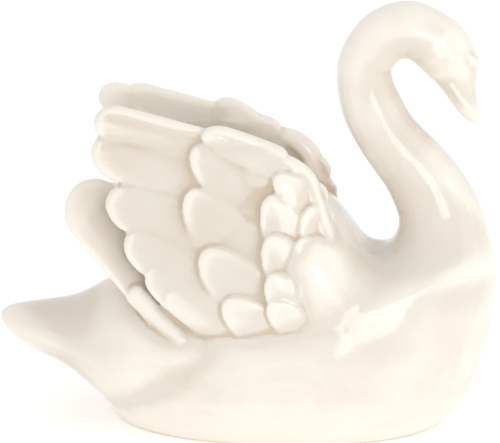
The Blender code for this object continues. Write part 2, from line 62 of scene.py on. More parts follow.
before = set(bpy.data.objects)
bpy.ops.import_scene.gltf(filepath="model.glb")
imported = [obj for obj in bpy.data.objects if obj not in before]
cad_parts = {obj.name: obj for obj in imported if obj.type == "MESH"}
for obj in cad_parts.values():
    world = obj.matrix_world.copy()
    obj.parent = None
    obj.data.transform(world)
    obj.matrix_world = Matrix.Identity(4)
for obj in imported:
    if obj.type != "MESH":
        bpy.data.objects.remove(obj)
SOLID_LOW, SOLID_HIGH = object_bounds()

# The pose and the proportions below count in millimetres on a swan that is
# this long, and are scaled to the length that is set.
DRAWN_LENGTH = 201.0

# The two sides, as signs along Y.
RIGHT = -1.0
LEFT = 1.0

# Level slices of the body: height, rear end, front end, half width.
BODY_SLICES = (
    (-7.0, -60.0, 59.0, 33.0),
    (0.0, -66.5, 64.5, 38.0),
    (8.3, -73.0, 73.2, 42.6),
    (16.0, -76.0, 77.6, 44.9),
    (28.8, -76.0, 82.0, 44.8),
    (39.4, -74.0, 84.5, 42.7),
    (50.0, -66.0, 86.2, 39.8),
    (57.0, -50.0, 86.4, 36.8),
    (62.5, -14.0, 86.2, 32.6),
    (67.0, 32.0, 85.7, 28.3),
    (70.5, 40.5, 85.2, 25.1),
    (74.0, 44.2, 84.2, 22.4),
    (78.0, 46.0, 83.0, 20.2),
    (83.0, 46.8, 81.2, 18.2),
    (88.0, 46.2, 78.6, 16.6),
    (94.0, 44.8, 74.4, 14.6),
)
BODY_PLAN_POWER = 2.15

# Upright slices of the tail: place along X, lowest, highest, half width.
TAIL_SLICES = (
    (-114.4, 38.6, 41.6, 2.2),
    (-112.0, 34.6, 43.7, 6.5),
    (-108.0, 31.4, 44.6, 10.5),
    (-102.7, 28.3, 45.2, 14.5),
    (-95.4, 25.3, 45.8, 19.0),
    (-86.0, 21.4, 47.0, 23.5),
    (-78.0, 14.5, 51.0, 27.5),
    (-70.0, 6.5, 56.5, 31.2),
    (-58.0, 0.0, 61.0, 35.6),
    (-45.0, 0.0, 63.0, 38.4),
    (-30.0, 4.0, 63.0, 40.4),
    (-15.0, 12.0, 60.0, 40.0),
)
TAIL_POWER = 2.0

# Upright slices of the saddle, the smooth mass that joins both wings and
# falls to the neck and to the rump: place along X, lowest, highest, half width.
SADDLE_SLICES = (
    (62.0, 34.0, 44.0, 12.0),
    (52.0, 28.0, 51.0, 20.0),
    (42.0, 20.0, 60.0, 28.0),
    (34.0, 20.0, 71.4, 34.5),
    (25.0, 20.0, 85.6, 38.6),
    (14.0, 20.0, 95.3, 40.2),
    (4.0, 20.0, 96.5, 39.0),
    (-8.0, 20.0, 91.5, 36.5),
    (-25.0, 20.0, 80.0, 34.0),
    (-45.0, 20.0, 68.0, 30.0),
    (-60.0, 24.0, 59.0, 25.0),
    (-74.0, 28.0, 48.0, 16.0),
)
SADDLE_POWER = 2.6

# Neck and head, from deep in the breast to the bill's tip: place along X,
# height, half thickness as seen from the side, half width across.
NECK_STATIONS = (
    (60.0, 52.0, 24.0, 26.0),
    (63.5, 64.0, 21.5, 22.0),
    (65.2, 74.0, 19.0, 19.0),
    (64.0, 83.2, 17.0, 17.0),
    (59.5, 93.7, 15.6, 15.2),
    (53.0, 103.6, 13.9, 13.6),
    (47.0, 110.6, 12.9, 12.6),
    (41.0, 118.3, 12.2, 12.0),
    (35.6, 128.0, 12.0, 11.7),
    (32.4, 138.0, 11.1, 11.1),
    (32.6, 147.5, 10.7, 10.8),
    (39.0, 156.8, 11.0, 10.8),
    (48.2, 160.2, 11.3, 10.8),
    (56.0, 157.6, 11.2, 10.6),
    (62.3, 152.6, 11.4, 10.4),
    (66.6, 146.0, 10.3, 9.2),
    (68.9, 139.8, 7.6, 7.2),
    (70.6, 134.6, 5.7, 5.7),
    (72.6, 130.2, 4.5, 5.0),
    (74.9, 126.6, 3.4, 4.3),
    (76.7, 124.0, 1.9, 2.8),
)

# The wing's outer face lies on the body's flank up to WING_LOW and closes in
# above it, to WING_TOP_SPREAD from the middle plane WING_RISE higher up. Over
# the rump it stays RUMP_SPREAD out, and RUMP_BLEND is how sharply it turns.
WING_ON_FLANK = 0.8
RUMP_SPREAD = 32.0
RUMP_BLEND = 8.0
WING_LOW = 42.0
WING_RISE = 76.0
WING_TOP_SPREAD = 22.0
WING_CLOSING_POWER = 1.3
WING_FRONT = 0.0
WING_FRONT_CURVE = 0.018

# The plate behind the feathers, by its four corners: place along X, height.
PLATE_LOW_REAR = (-42.0, 38.0)
PLATE_LOW_FRONT = (9.0, 36.0)
PLATE_TOP_FRONT = (11.0, 107.0)
PLATE_TOP_REAR = (-64.0, 127.5)
PLATE_DEPTH = 0.8

# The net that a wing is modelled on: its corners and how wide its meshes are.
NET_LOW = (-94.0, 34.0)
NET_HIGH = (20.0, 136.0)
NET_STEP = 0.5

# How the net's rim is drawn to the outline: the step that the slope is read
# with, the least slope counted, and how many times it is done.
RIM_NUDGE = 0.05
RIM_LEAST_SLOPE = 0.25
RIM_ROUNDS = 3

# How a feather's edges are rounded, and how the wing's own rim is.
EDGE_RADIUS = 2.0
EDGE_DROP = 1.4
RIM_RADIUS = 2.6
RIM_DROP = 1.2
RIM_RISE = 2.4
INNER_SLOPE = 22.0
INNER_FULL_FRONT = -8.0

# The relief sinks into the shoulder in front of WING_SINK_FRONT and into the
# flank below WING_SINK_LOW, by these shares of the distance squared.
WING_SINK_FRONT = 6.0
WING_SINK_LOW = 64.0
FRONT_SINK = 0.018
LOW_SINK = 0.011

# The roll along the wing's front edge, from its top down to the shoulder:
# place along X, height, how deep its middle lies inside the face, radius.
WING_ROLL = (
    (-9.0, 114.0, 3.2, 2.6),
    (-3.0, 112.2, 3.2, 3.4),
    (4.0, 109.6, 3.6, 4.0),
    (9.8, 104.6, 4.4, 4.2),
    (12.4, 97.0, 5.2, 4.8),
    (15.0, 88.0, 6.0, 5.2),
    (18.5, 78.0, 7.6, 5.2),
)

# Feathers, row by row: tip along X, tip height, heading above the level line
# to the rear in degrees, length, width.
FLIGHT_ROW = (
    (-73.8, 115.6, 11.5, 80.0, 21.0),
    (-67.8, 96.8, 18.0, 70.0, 21.0),
    (-60.2, 82.4, 28.0, 56.0, 20.0),
    (-51.6, 70.2, 34.0, 44.0, 17.0),
    (-44.0, 62.6, 38.0, 32.0, 12.5),
)
LONG_COVERT_ROW = (
    (-34.0, 117.2, 38.0, 42.0, 20.0),
    (-35.2, 101.2, 52.0, 42.0, 22.0),
    (-29.6, 78.6, 43.0, 38.0, 21.0),
    (-20.6, 60.4, 40.0, 32.0, 18.0),
)
MIDDLE_COVERT_ROW = (
    (-2.0, 107.2, 34.0, 24.0, 13.0),
    (-4.2, 100.0, 62.0, 32.0, 18.0),
    (-3.6, 85.4, 60.0, 30.0, 18.0),
    (-3.0, 71.0, 54.0, 28.0, 17.0),
    (-3.0, 60.8, 46.0, 22.0, 13.5),
)
SMALL_COVERT_ROW = (
    (12.0, 95.8, 70.0, 16.0, 16.0),
    (8.6, 84.4, 62.0, 18.0, 17.0),
    (10.2, 71.8, 58.0, 16.0, 16.0),
)

# The topmost flight feathers and long covert of each wing. They were laid one
# by one, and the left wing's stand a little differently.
TOP_FLIGHTS = {
    RIGHT: (
        (-72.6, 127.4, 14.5, 74.0, 16.0),
    ),
    LEFT: (
        (-75.8, 128.0, 14.0, 76.0, 14.0),
        (-65.4, 128.4, 14.5, 66.0, 13.0),
    ),
}
TOP_COVERT = {
    RIGHT: (-30.4, 122.6, 21.0, 36.0, 11.5),
    LEFT: (-28.6, 125.2, 33.0, 30.0, 13.0),
}

# How a row's feathers stand. In millimetres: how far behind the tip they have
# sunk to the wing's face, how fast their own shape fades to the root, how far
# the middle is domed, and how deep a groove runs along the upper half. As a
# share of the relief: how far the tip stands out. As shares of the width: how
# long the tip's curve is, and how far the feather turns about its length.
RowStyle = collections.namedtuple("RowStyle", "fall fade dome groove lift tip tilt")
TOP_FLIGHT_STYLE = RowStyle(fall=70.0, fade=60.0, dome=1.5, groove=0.9, lift=1.0, tip=0.62, tilt=0.03)
FLIGHT_STYLE = RowStyle(fall=52.0, fade=26.0, dome=1.3, groove=0.0, lift=1.0, tip=0.7, tilt=0.05)
TOP_COVERT_STYLE = RowStyle(fall=44.0, fade=30.0, dome=1.1, groove=0.5, lift=1.0, tip=0.8, tilt=0.06)
LONG_COVERT_STYLE = RowStyle(fall=24.0, fade=15.0, dome=1.1, groove=0.0, lift=1.25, tip=1.05, tilt=0.13)
MIDDLE_COVERT_STYLE = RowStyle(fall=17.0, fade=9.0, dome=0.8, groove=0.0, lift=1.0, tip=0.95, tilt=0.11)
SMALL_COVERT_STYLE = RowStyle(fall=13.0, fade=8.0, dome=0.7, groove=0.0, lift=0.9, tip=0.9, tilt=0.08)
GROOVE_PLACE = 0.22
GROOVE_WIDTH = 0.13

# The long feather folded below the fan: tip along X, tip height, heading,
# length, width, then how far the tip and the root lie inside the wing's face.
# The left one was laid lower. Their upper edges dip in behind the fan.
FOLDED_FEATHER = {
    RIGHT: (-81.6, 98.6, 49.0, 82.0, 21.0, 9.5, 6.5),
    LEFT: (-75.0, 91.1, 49.0, 72.0, 21.0, 9.5, 6.5),
}
FOLDED_TILT = 0.8

# The folded feather's shape: how square its cross section is, how long its
# tip's curve is as a share of its width, how long its root's curve is as a
# share of its length, how far it sinks to the root as a share of its relief,
# and how its thickness follows its width.
FOLDED_POWER = 2.6
FOLDED_TIP = 0.62
FOLDED_ROOT = 0.2
FOLDED_SINK = 1.9
FOLDED_THINNING = 0.6

# Clay that fills the slit behind the folded feather's root: x and z where it
# starts and ends, how deep its middle lies, its radius and its count of balls.
ROOT_FILL_START = (-56.0, 58.0)
ROOT_FILL_END = (-38.0, 42.0)
ROOT_FILL_DEPTH = 4.6
ROOT_FILL_RADIUS = 4.4
ROOT_FILL_BALLS = 12

# The ridges on the head, as strings of balls: where they start and end, as the
# place along X, the height and the place sideways, then radius and count.
EYE_START = (58.8, 155.8, 8.9)
EYE_END = (61.7, 151.9, 8.8)
EYE_RADIUS = 1.9
EYE_BALLS = 5
BROW_START = (62.4, 159.0, 7.0)
BROW_END = (73.4, 148.6, 4.4)
BROW_RADIUS = 2.6
BROW_BALLS = 9
BILL_EDGE_START = (66.0, 140.4, 6.7)
BILL_EDGE_END = (75.2, 126.6, 3.5)
BILL_EDGE_RADIUS = 1.2
BILL_EDGE_BALLS = 25

# The knob on the bill's root: place along X, height, place sideways.
KNOB = (72.6, 147.4, 0.0)
KNOB_RADIUS = 4.4

# How many of the neck's places the fillets at its foot are worn from.
NECK_FOOT_STATIONS = 8

# How many rings and sides each kind of closed form has.
BODY_MESHES = (120, 160)
SLICED_MESHES = (110, 96)
NECK_MESHES = (220, 72)
BALL_MESHES = (18, 24)
FOLDED_MESHES = (56, 36)
ROLL_MESHES = (90, 36)

# Swept forms: the step that the curve's direction is read with, and how long
# the round ends are, both as shares of the curve.
NECK_STEP = 0.004
NECK_END = 0.02
ROLL_STEP = 0.01
ROLL_END = 0.06

# How far one round of wear moves a point towards the middle of its neighbours.
WEAR = 0.5

# Where the neck's foot and the breast are worn together: the runs, in x, z and
# sideways, over which the wear sets in, and the run in z over which it ends.
BREAST_FROM = (22.0, 34.0)
BREAST_FRONT = (60.0, 72.0)
BREAST_ASIDE = (8.0, 16.0)
BREAST_LOW = (56.0, 70.0)
BREAST_HIGH = (98.0, 112.0)

# From here on sizes are in metres. The foot: the cut's tolerance, how level and
# low the faces cut are, how level and low the bare faces are, and how far the
# foot's rim is drawn in, as a share of the foot's height.
CUT_TOLERANCE = 1e-7
CUT_LEVEL = -0.999
CUT_HEIGHT = 1e-6
BARE_LEVEL = -0.99
BARE_HEIGHT = 1e-5
FOOT_DRAWN_IN = 0.35

# How many rounds of averaging the depth between neighbours is taken from, and
# the depth that counts as full.
DEPTH_ROUNDS = 24
FULL_DEPTH = 0.0005

# The glaze's colour: how wide its drifts are, the part of the noise that
# carries them, and from what depth on it is darkened in the hollows, partly as
# gathered glaze and partly as painted shade, or thin on the edges, and how much.
DRIFT_SIZE = 0.045
DRIFT_RANGE = (0.35, 0.68)
HOLLOW_RANGE = (0.08, 0.9)
HOLLOW_MOST = 0.85
EDGE_RANGE = (-0.1, -0.9)
EDGE_MOST = 0.7

# The glaze line above the foot: how long its waves are, and as shares of the
# foot's height how high they go and where bare clay turns to glaze.
LINE_WAVE_SIZE = 0.009
LINE_WAVE_HEIGHT = -0.7
LINE_RANGE = (0.3, 0.5)

# The glaze's shine: how wide its matt drifts are, the part of the noise that
# carries them, the roughness from one to the other, and that of the bare foot.
SHEEN_SIZE = 0.012
SHEEN_RANGE = (0.3, 0.75)
GLAZE_ROUGHNESS = (0.07, 0.13)
FOOT_ROUGHNESS = 0.75
GLAZE_IOR = 1.52

# The glaze's surface: size, height and strength of its waver and of its peel.
WAVER_SIZE = 0.011
WAVER_HEIGHT = 0.0006
WAVER_STRENGTH = 0.35
PEEL_SIZE = 0.0022
PEEL_HEIGHT = 0.0002
PEEL_STRENGTH = 0.12

# The bare clay: its grain, its stains and its roughness.
GRAIN_SIZE = 0.0012
GRAIN_HEIGHT = 0.0003
GRAIN_STRENGTH = 0.5
STAIN_SIZE = 0.03
STAIN_RANGE = (0.35, 0.7)
STAIN_MOST = 0.5
BARE_ROUGHNESS = (0.7, 0.9)

# The floor: how far it reaches from its middle, its tooth, its roughness, and
# how much it glows by itself, as a backlit board does.
FLOOR_REACH = 4.0
TOOTH_SIZE = 0.002
TOOTH_HEIGHT = 0.0001
TOOTH_STRENGTH = 0.05
FLOOR_ROUGHNESS = 0.8
FLOOR_GLOW = 0.2

# The point that the camera and the lights face, and where each light stands:
# its angles round the swan and above the level, its distance and its size.
TARGET = Vector((-0.013, 0.0, 0.081))
PanelPlace = collections.namedtuple("PanelPlace", "azimuth elevation distance size")
SOFTBOX = PanelPlace(math.radians(20.0), math.radians(10.0), 1.1, (0.40, 0.36))
SIDE_PANEL = PanelPlace(math.radians(75.0), math.radians(24.0), 1.6, (1.2, 1.0))

# The camera's sensor is this wide, in millimetres.
SENSOR_WIDTH = 36.0

# The sockets of a mix node: its share, the two colours and the colour mixed,
# then the two numbers and the number mixed.
MIX_SHARE = 0
COLOUR_A = 6
COLOUR_B = 7
COLOUR_MIXED = 2
NUMBER_A = 2
NUMBER_B = 3
NUMBER_MIXED = 0


def srgb(code):
    """A colour written as sRGB hex, turned into linear red, green, blue and alpha."""
    parts = [int(code[place:place + 2], 16) / 255.0 for place in (0, 2, 4)]
    return tuple(
        part / 12.92 if part <= 0.04045 else ((part + 0.055) / 1.055) ** 2.4
        for part in parts
    ) + (1.0,)


def colour_setting(name, description, code):
    """A setting for a colour, with its sRGB hex as the default."""
    return bpy.props.FloatVectorProperty(
        name=name, description=description, subtype="COLOR", size=4, min=0.0, max=1.0, default=srgb(code)
    )


class SwanSizes(bpy.types.PropertyGroup):
    """The casting's sizes."""

    length: bpy.props.FloatProperty(
        name="Length",
        description="From the tail's tip to the breast",
        default=SOLID_HIGH.x - SOLID_LOW.x,
        unit="LENGTH",
    )
    feather_proud: bpy.props.FloatProperty(
        name="Feather Relief",
        description="How far a feather's tip stands out from the wing's face",
        default=0.0024,
        unit="LENGTH",
    )
    feather_thickness: bpy.props.FloatProperty(
        name="Feather Thickness",
        description="How thick the middle of a feather is",
        default=0.0054,
        unit="LENGTH",
    )
    wing_wall: bpy.props.FloatProperty(
        name="Wing Wall",
        description="How thick the wall behind the feathers is",
        default=0.0062,
        unit="LENGTH",
    )
    clay_grain: bpy.props.FloatProperty(
        name="Clay Grain",
        description="The grid that joins the forms into one skin",
        default=0.0006,
        unit="LENGTH",
    )
    fillet_grain: bpy.props.FloatProperty(
        name="Fillet Grain",
        description="The coarse grid that the fillets between the masses are worn from",
        default=0.0022,
        unit="LENGTH",
    )
    fillet_rounds: bpy.props.IntProperty(
        name="Fillet Rounds",
        description="How long the coarse skin is worn: more gives wider fillets",
        default=45,
    )
    breast_rounds: bpy.props.IntProperty(
        name="Breast Rounds",
        description="How many rounds of wear blend the neck's foot into the breast",
        default=400,
        min=0,
    )
    glaze_rounds: bpy.props.IntProperty(
        name="Glaze Rounds",
        description="How much the glaze rounds off every edge of the clay",
        default=5,
    )
    most_triangles: bpy.props.IntProperty(
        name="Most Triangles",
        description="How many triangles the finished casting may have",
        default=190000,
    )
    foot_height: bpy.props.FloatProperty(
        name="Foot Height",
        description="How high the glaze was wiped off above the underside",
        default=0.0011,
        unit="LENGTH",
    )

    def millimetre(self):
        """How long a drawn millimetre is on this swan."""
        return self.length / DRAWN_LENGTH


class SwanColours(bpy.types.PropertyGroup):
    """The colours of the glaze, of the shade painted in its hollows, and of the bare clay."""

    ivory: colour_setting("Ivory Glaze", "The glaze where it lies evenly", "E3DBD0")
    cream: colour_setting("Cream Glaze", "The same glaze where it ran a little thicker", "DDD2C4")
    # Glaze gathered in the hollows, darkened further as painted shade; the bare foot's stains take it
    # too.
    pool_shade_and_stain: colour_setting("Pooled Glaze", "The glaze where it gathered in the hollows", "C9B9A3")
    thin: colour_setting("Thin Glaze", "The glaze where it drew thin over the edges", "FBF4EA")
    bisque: colour_setting("Bisque", "The bare fired clay of the foot", "E9DECB")
    floor: colour_setting("Floor", "The pale floor", "FDFDFC")


class SwanStudio(bpy.types.PropertyGroup):
    """Where the camera stands and how the lights are set."""

    azimuth: bpy.props.FloatProperty(
        name="Camera Azimuth",
        description="How far the camera stands to the swan's front from its right side",
        default=math.radians(3.5),
        subtype="ANGLE",
    )
    elevation: bpy.props.FloatProperty(
        name="Camera Elevation",
        description="How far the camera looks down",
        default=math.radians(16.0),
        subtype="ANGLE",
    )
    distance: bpy.props.FloatProperty(
        name="Camera Distance",
        description="From the camera to the point that it looks at",
        default=1.0,
        unit="LENGTH",
    )
    view_width: bpy.props.FloatProperty(
        name="View Width",
        description="How wide a strip the picture shows at that distance",
        default=0.2,
        unit="LENGTH",
    )
    softbox: bpy.props.FloatProperty(
        name="Softbox Power",
        description="The softbox to the right of the camera",
        default=1.55,
        unit="POWER",
    )
    side_panel: bpy.props.FloatProperty(
        name="Side Panel Power",
        description="The large panel in front of the swan's breast",
        default=2.6,
        unit="POWER",
    )
    surround: bpy.props.FloatProperty(
        name="Surround",
        description="How bright the white surroundings are",
        default=0.88,
        min=0.0,
    )


def curve_through(rows, share):
    """Read a smooth curve through rows of numbers, at a share from 0 to 1."""
    spans = len(rows) - 1
    place = min(max(share, 0.0), 1.0) * spans
    index = min(int(place), spans - 1)
    part = place - index
    before = rows[max(index - 1, 0)]
    start = rows[index]
    end = rows[index + 1]
    after = rows[min(index + 2, spans)]
    return [
        0.5 * (
            2.0 * b
            + (c - a) * part
            + (2.0 * a - 5.0 * b + 4.0 * c - d) * part ** 2
            + (3.0 * b - a - 3.0 * c + d) * part ** 3
        )
        for a, b, c, d in zip(before, start, end, after)
    ]


def curve_near(rows, share):
    """Read a curve that passes close by rows of numbers, with no kinks in its bend."""
    spans = len(rows) - 1
    place = min(max(share, 0.0), 1.0) * spans
    index = min(int(place), spans - 1)
    part = place - index
    start = rows[index]
    end = rows[index + 1]
    before = rows[index - 1] if index > 0 else [2.0 * a - b for a, b in zip(start, end)]
    after = rows[index + 2] if index + 2 <= spans else [2.0 * b - a for a, b in zip(start, end)]
    return [
        (
            a * (1.0 - part) ** 3
            + b * (3.0 * part ** 3 - 6.0 * part ** 2 + 4.0)
            + c * (-3.0 * part ** 3 + 3.0 * part ** 2 + 3.0 * part + 1.0)
            + d * part ** 3
        ) / 6.0
        for a, b, c, d in zip(before, start, end, after)
    ]


def add_form(bm, form):
    """Add one finished closed form to the forms that will be joined."""
    carrier = bpy.data.meshes.new("form")
    form.to_mesh(carrier)
    form.free()
    bm.from_mesh(carrier)
    bpy.data.meshes.remove(carrier)


def pulled_sphere(bm, rings, sides, place):
    """Add a sphere whose points go to place(share from pole to pole, angle)."""
    form = bmesh.new()
    bmesh.ops.create_uvsphere(form, u_segments=sides, v_segments=rings, radius=1.0)
    for vert in form.verts:
        share = math.acos(min(max(-vert.co.z, -1.0), 1.0)) / math.pi
        vert.co = place(share, math.atan2(vert.co.y, vert.co.x))
    add_form(bm, form)


def signed_power(value, power):
    """Raise a size to a power and keep its sign."""
    return math.copysign(abs(value) ** power, value)


def add_body(bm):
    """The hull, wide and round at the breast, with level slices."""
    last = len(BODY_SLICES) - 1

    def place(share, angle):
        inner = min(max((share * (last + 2) - 1.0) / last, 0.0), 1.0)
        height, rear, front, half_width = curve_near(BODY_SLICES, inner)
        closing = min(1.0, share * (last + 2), (1.0 - share) * (last + 2))
        power = 2.0 / BODY_PLAN_POWER
        middle = 0.5 * (rear + front)
        x = middle + closing * 0.5 * (front - rear) * signed_power(math.cos(angle), power)
        y = closing * half_width * signed_power(math.sin(angle), power)
        return Vector((x, y, height))

    pulled_sphere(bm, *BODY_MESHES, place)


def add_upright_slices(bm, slices, power):
    """A closed form through upright oval slices, such as the tail."""
    last = len(slices) - 1
    bend = 2.0 / power

    def place(share, angle):
        inner = min(max((share * (last + 2) - 1.0) / last, 0.0), 1.0)
        x, low, high, half_width = curve_near(slices, inner)
        closing = min(1.0, share * (last + 2), (1.0 - share) * (last + 2))
        middle = 0.5 * (low + high)
        z = middle + closing * (high - middle) * signed_power(math.sin(angle), bend)
        y = closing * half_width * signed_power(math.cos(angle), bend)
        return Vector((x, y, z))

    pulled_sphere(bm, *SLICED_MESHES, place)


def add_neck_and_head(bm, stations):
    """The neck, head and bill, swept along one curve in the middle plane."""

    def place(share, angle):
        x, z, thick, wide = curve_through(stations, share)
        behind = curve_through(stations, share - NECK_STEP)
        ahead = curve_through(stations, share + NECK_STEP)
        along = Vector((ahead[0] - behind[0], 0.0, ahead[1] - behind[1])).normalized()
        outward = Vector((-along.z, 0.0, along.x))
        to_end = min(max(share, 0.0), max(1.0 - share, 0.0))
        closing = min(1.0, math.sqrt(to_end / NECK_END))
        point = Vector((x, 0.0, z)) + outward * (closing * thick * math.sin(angle))
        point.y = closing * wide * math.cos(angle)
        return point

    pulled_sphere(bm, *NECK_MESHES, place)


def ball(bm, centre, radius):
    """Add a ball."""

    def place(share, angle):
        ring = math.sin(share * math.pi)
        return Vector((
            centre[0] + radius * ring * math.cos(angle),
            centre[1] + radius * ring * math.sin(angle),
            centre[2] - radius * math.cos(share * math.pi),
        ))

    pulled_sphere(bm, *BALL_MESHES, place)


def string_of_balls(bm, side, start, end, radius, count):
    """A straight ridge on one side of the head, as balls set close together."""
    for step in range(count):
        share = step / (count - 1)
        x, z, y = (a + (b - a) * share for a, b in zip(start, end))
        ball(bm, (x, side * y, z), radius)


def add_face(bm):
    """The eyes, the brows that run to the bill, the bill's edges and the knob."""
    for side in (RIGHT, LEFT):
        string_of_balls(bm, side, EYE_START, EYE_END, EYE_RADIUS, EYE_BALLS)
        string_of_balls(bm, side, BROW_START, BROW_END, BROW_RADIUS, BROW_BALLS)
        string_of_balls(bm, side, BILL_EDGE_START, BILL_EDGE_END, BILL_EDGE_RADIUS, BILL_EDGE_BALLS)
    ball(bm, (KNOB[0], KNOB[2], KNOB[1]), KNOB_RADIUS)


def flank(x):
    """The body's half width at the wing's foot, at places along X."""
    upper = next(i for i, row in enumerate(BODY_SLICES) if row[0] > WING_LOW)
    low, high = BODY_SLICES[upper - 1], BODY_SLICES[upper]
    part = (WING_LOW - low[0]) / (high[0] - low[0])
    rear, front, half_width = (a + (b - a) * part for a, b in zip(low[1:], high[1:]))
    share = np.abs(2.0 * x - rear - front) / (front - rear)
    hull = half_width * np.maximum(1.0 - share ** BODY_PLAN_POWER, 0.0) ** (1.0 / BODY_PLAN_POWER)
    return (hull ** RUMP_BLEND + RUMP_SPREAD ** RUMP_BLEND) ** (1.0 / RUMP_BLEND)


def wing_face(x, z):
    """How far the wing's outer face stands from the middle plane, at places on it."""
    rise = np.clip((z - WING_LOW) / WING_RISE, 0.0, 1.0) ** WING_CLOSING_POWER
    low_reach = flank(x) + WING_ON_FLANK
    inset = WING_FRONT_CURVE * np.maximum(x - WING_FRONT, 0.0) ** 2 * rise
    return low_reach + (WING_TOP_SPREAD - low_reach) * rise - inset


def rounded(inset, radius):
    """1 on an outline, falling along a quarter circle to 0 at the radius inside it."""
    return 1.0 - np.sqrt(1.0 - (1.0 - np.clip(inset / radius, 0.0, 1.0)) ** 2)


def plate_inset(x, z):
    """How far inside the plate's outline places lie."""
    corners = (PLATE_LOW_REAR, PLATE_LOW_FRONT, PLATE_TOP_FRONT, PLATE_TOP_REAR)
    inset = np.full_like(x, np.inf)
    for start, end in zip(corners, corners[1:] + corners[:1]):
        run = Vector(end) - Vector(start)
        run.normalize()
        inset = np.minimum(inset, run.x * (z - start[1]) - run.y * (x - start[0]))
    return inset


def feather_relief(feather, style, x, z, sizes):
    """How far inside a feather's outline places lie, and how high the feather stands there."""
    tip_x, tip_z, heading, length, width = feather
    turn = math.radians(heading)
    behind_tip = (x - tip_x) * math.cos(turn) - (z - tip_z) * math.sin(turn)
    sideways = (x - tip_x) * math.sin(turn) + (z - tip_z) * math.cos(turn)
    off_tip = np.maximum(1.0 - behind_tip / (style.tip * width), 0.0)
    off_root = np.maximum(1.0 - (length - behind_tip) / (0.5 * width), 0.0)
    off_axis = np.abs(sideways) / (0.5 * width)
    inset = 0.5 * width * (1.0 - np.hypot(off_tip + off_root, off_axis))

    proud = style.lift * sizes.feather_proud / sizes.millimetre()
    fresh = np.exp(-np.maximum(behind_tip, 0.0) / style.fade)
    height = proud * (1.0 - behind_tip / style.fall)
    height -= fresh * style.tilt * sideways
    height -= fresh * style.dome * off_axis ** 2
    height -= fresh * style.groove * np.exp(-((sideways / width - GROOVE_PLACE) / GROOVE_WIDTH) ** 2)
    height -= fresh * EDGE_DROP * rounded(inset, EDGE_RADIUS)
    return inset, height


def wing_relief(side, x, z, sizes):
    """How far inside the wing's outline places lie, and how high its relief stands there."""
    inset = plate_inset(x, z)
    height = np.full_like(x, -PLATE_DEPTH)
    rows = (
        (TOP_FLIGHT_STYLE, TOP_FLIGHTS[side]),
        (FLIGHT_STYLE, FLIGHT_ROW),
        (TOP_COVERT_STYLE, (TOP_COVERT[side],)),
        (LONG_COVERT_STYLE, LONG_COVERT_ROW),
        (MIDDLE_COVERT_STYLE, MIDDLE_COVERT_ROW),
        (SMALL_COVERT_STYLE, SMALL_COVERT_ROW),
    )
    for style, row in rows:
        for feather in row:
            inside, stands = feather_relief(feather, style, x, z, sizes)
            height = np.where(inside > 0.0, np.maximum(height, stands), height)
            inset = np.maximum(inset, inside)
    height -= FRONT_SINK * np.maximum(x - WING_SINK_FRONT, 0.0) ** 2
    height -= LOW_SINK * np.maximum(WING_SINK_LOW - z, 0.0) ** 2
    return inset, height


def add_wing_wall(bm, side, sizes):
    """The wing's wall, on a net: feathers in relief outside, a plain face inside."""
    form = bmesh.new()
    span = [high - low for low, high in zip(NET_LOW, NET_HIGH)]
    meshes = [round(length / NET_STEP) for length in span]
    bmesh.ops.create_grid(form, x_segments=meshes[0], y_segments=meshes[1], size=0.5)
    for vert in form.verts:
        x = NET_LOW[0] + span[0] * (vert.co.x + 0.5)
        z = NET_LOW[1] + span[1] * (vert.co.y + 0.5)
        vert.co = Vector((x, 0.0, z))

    # Cut the net to the wing's outline.
    x, z = np.array([(vert.co.x, vert.co.z) for vert in form.verts]).T
    inset, _ = wing_relief(side, x, z, sizes)
    outer = [vert for vert, depth in zip(form.verts, inset) if depth < 0.0]
    bmesh.ops.delete(form, geom=outer, context="VERTS")
    rim = [vert for vert in form.verts if vert.is_boundary]
    x, z = np.array([(vert.co.x, vert.co.z) for vert in rim]).T
    for _ in range(RIM_ROUNDS):
        inset, _ = wing_relief(side, x, z, sizes)
        slope_x = (wing_relief(side, x + RIM_NUDGE, z, sizes)[0] - inset) / RIM_NUDGE
        slope_z = (wing_relief(side, x, z + RIM_NUDGE, sizes)[0] - inset) / RIM_NUDGE
        steep = np.maximum(slope_x ** 2 + slope_z ** 2, RIM_LEAST_SLOPE)
        x = x - np.clip(inset * slope_x / steep, -NET_STEP, NET_STEP)
        z = z - np.clip(inset * slope_z / steep, -NET_STEP, NET_STEP)
    for vert, place_x, place_z in zip(rim, x, z):
        vert.co = Vector((place_x, 0.0, place_z))

    # Give it its two faces.
    x, z = np.array([(vert.co.x, vert.co.z) for vert in form.verts]).T
    inset, height = wing_relief(side, x, z, sizes)
    wall = sizes.wing_wall / sizes.millimetre() + PLATE_DEPTH
    thin = (sizes.feather_thickness - sizes.feather_proud) / sizes.millimetre()
    to_front = 1.0 + (x - INNER_FULL_FRONT) / INNER_SLOPE
    into_plate = np.clip(np.maximum(plate_inset(x, z) / INNER_SLOPE, to_front), 0.0, 1.0)
    back = -thin - (wall - thin) * into_plate ** 2 * (3.0 - 2.0 * into_plate)
    face = wing_face(x, z)
    front = face + height - RIM_DROP * rounded(inset, RIM_RADIUS)
    back = np.minimum(face + back + RIM_RISE * rounded(inset, RIM_RADIUS), front - NET_STEP)
    faces_at = {
        tuple(vert.co): (side * near, side * far) for vert, near, far in zip(form.verts, front, back)
    }
    grown = bmesh.ops.extrude_face_region(form, geom=form.faces[:], use_keep_orig=True)
    inner = {item for item in grown["geom"] if isinstance(item, bmesh.types.BMVert)}
    for vert in form.verts:
        vert.co.y = faces_at[tuple(vert.co)][vert in inner]
    add_form(bm, form)


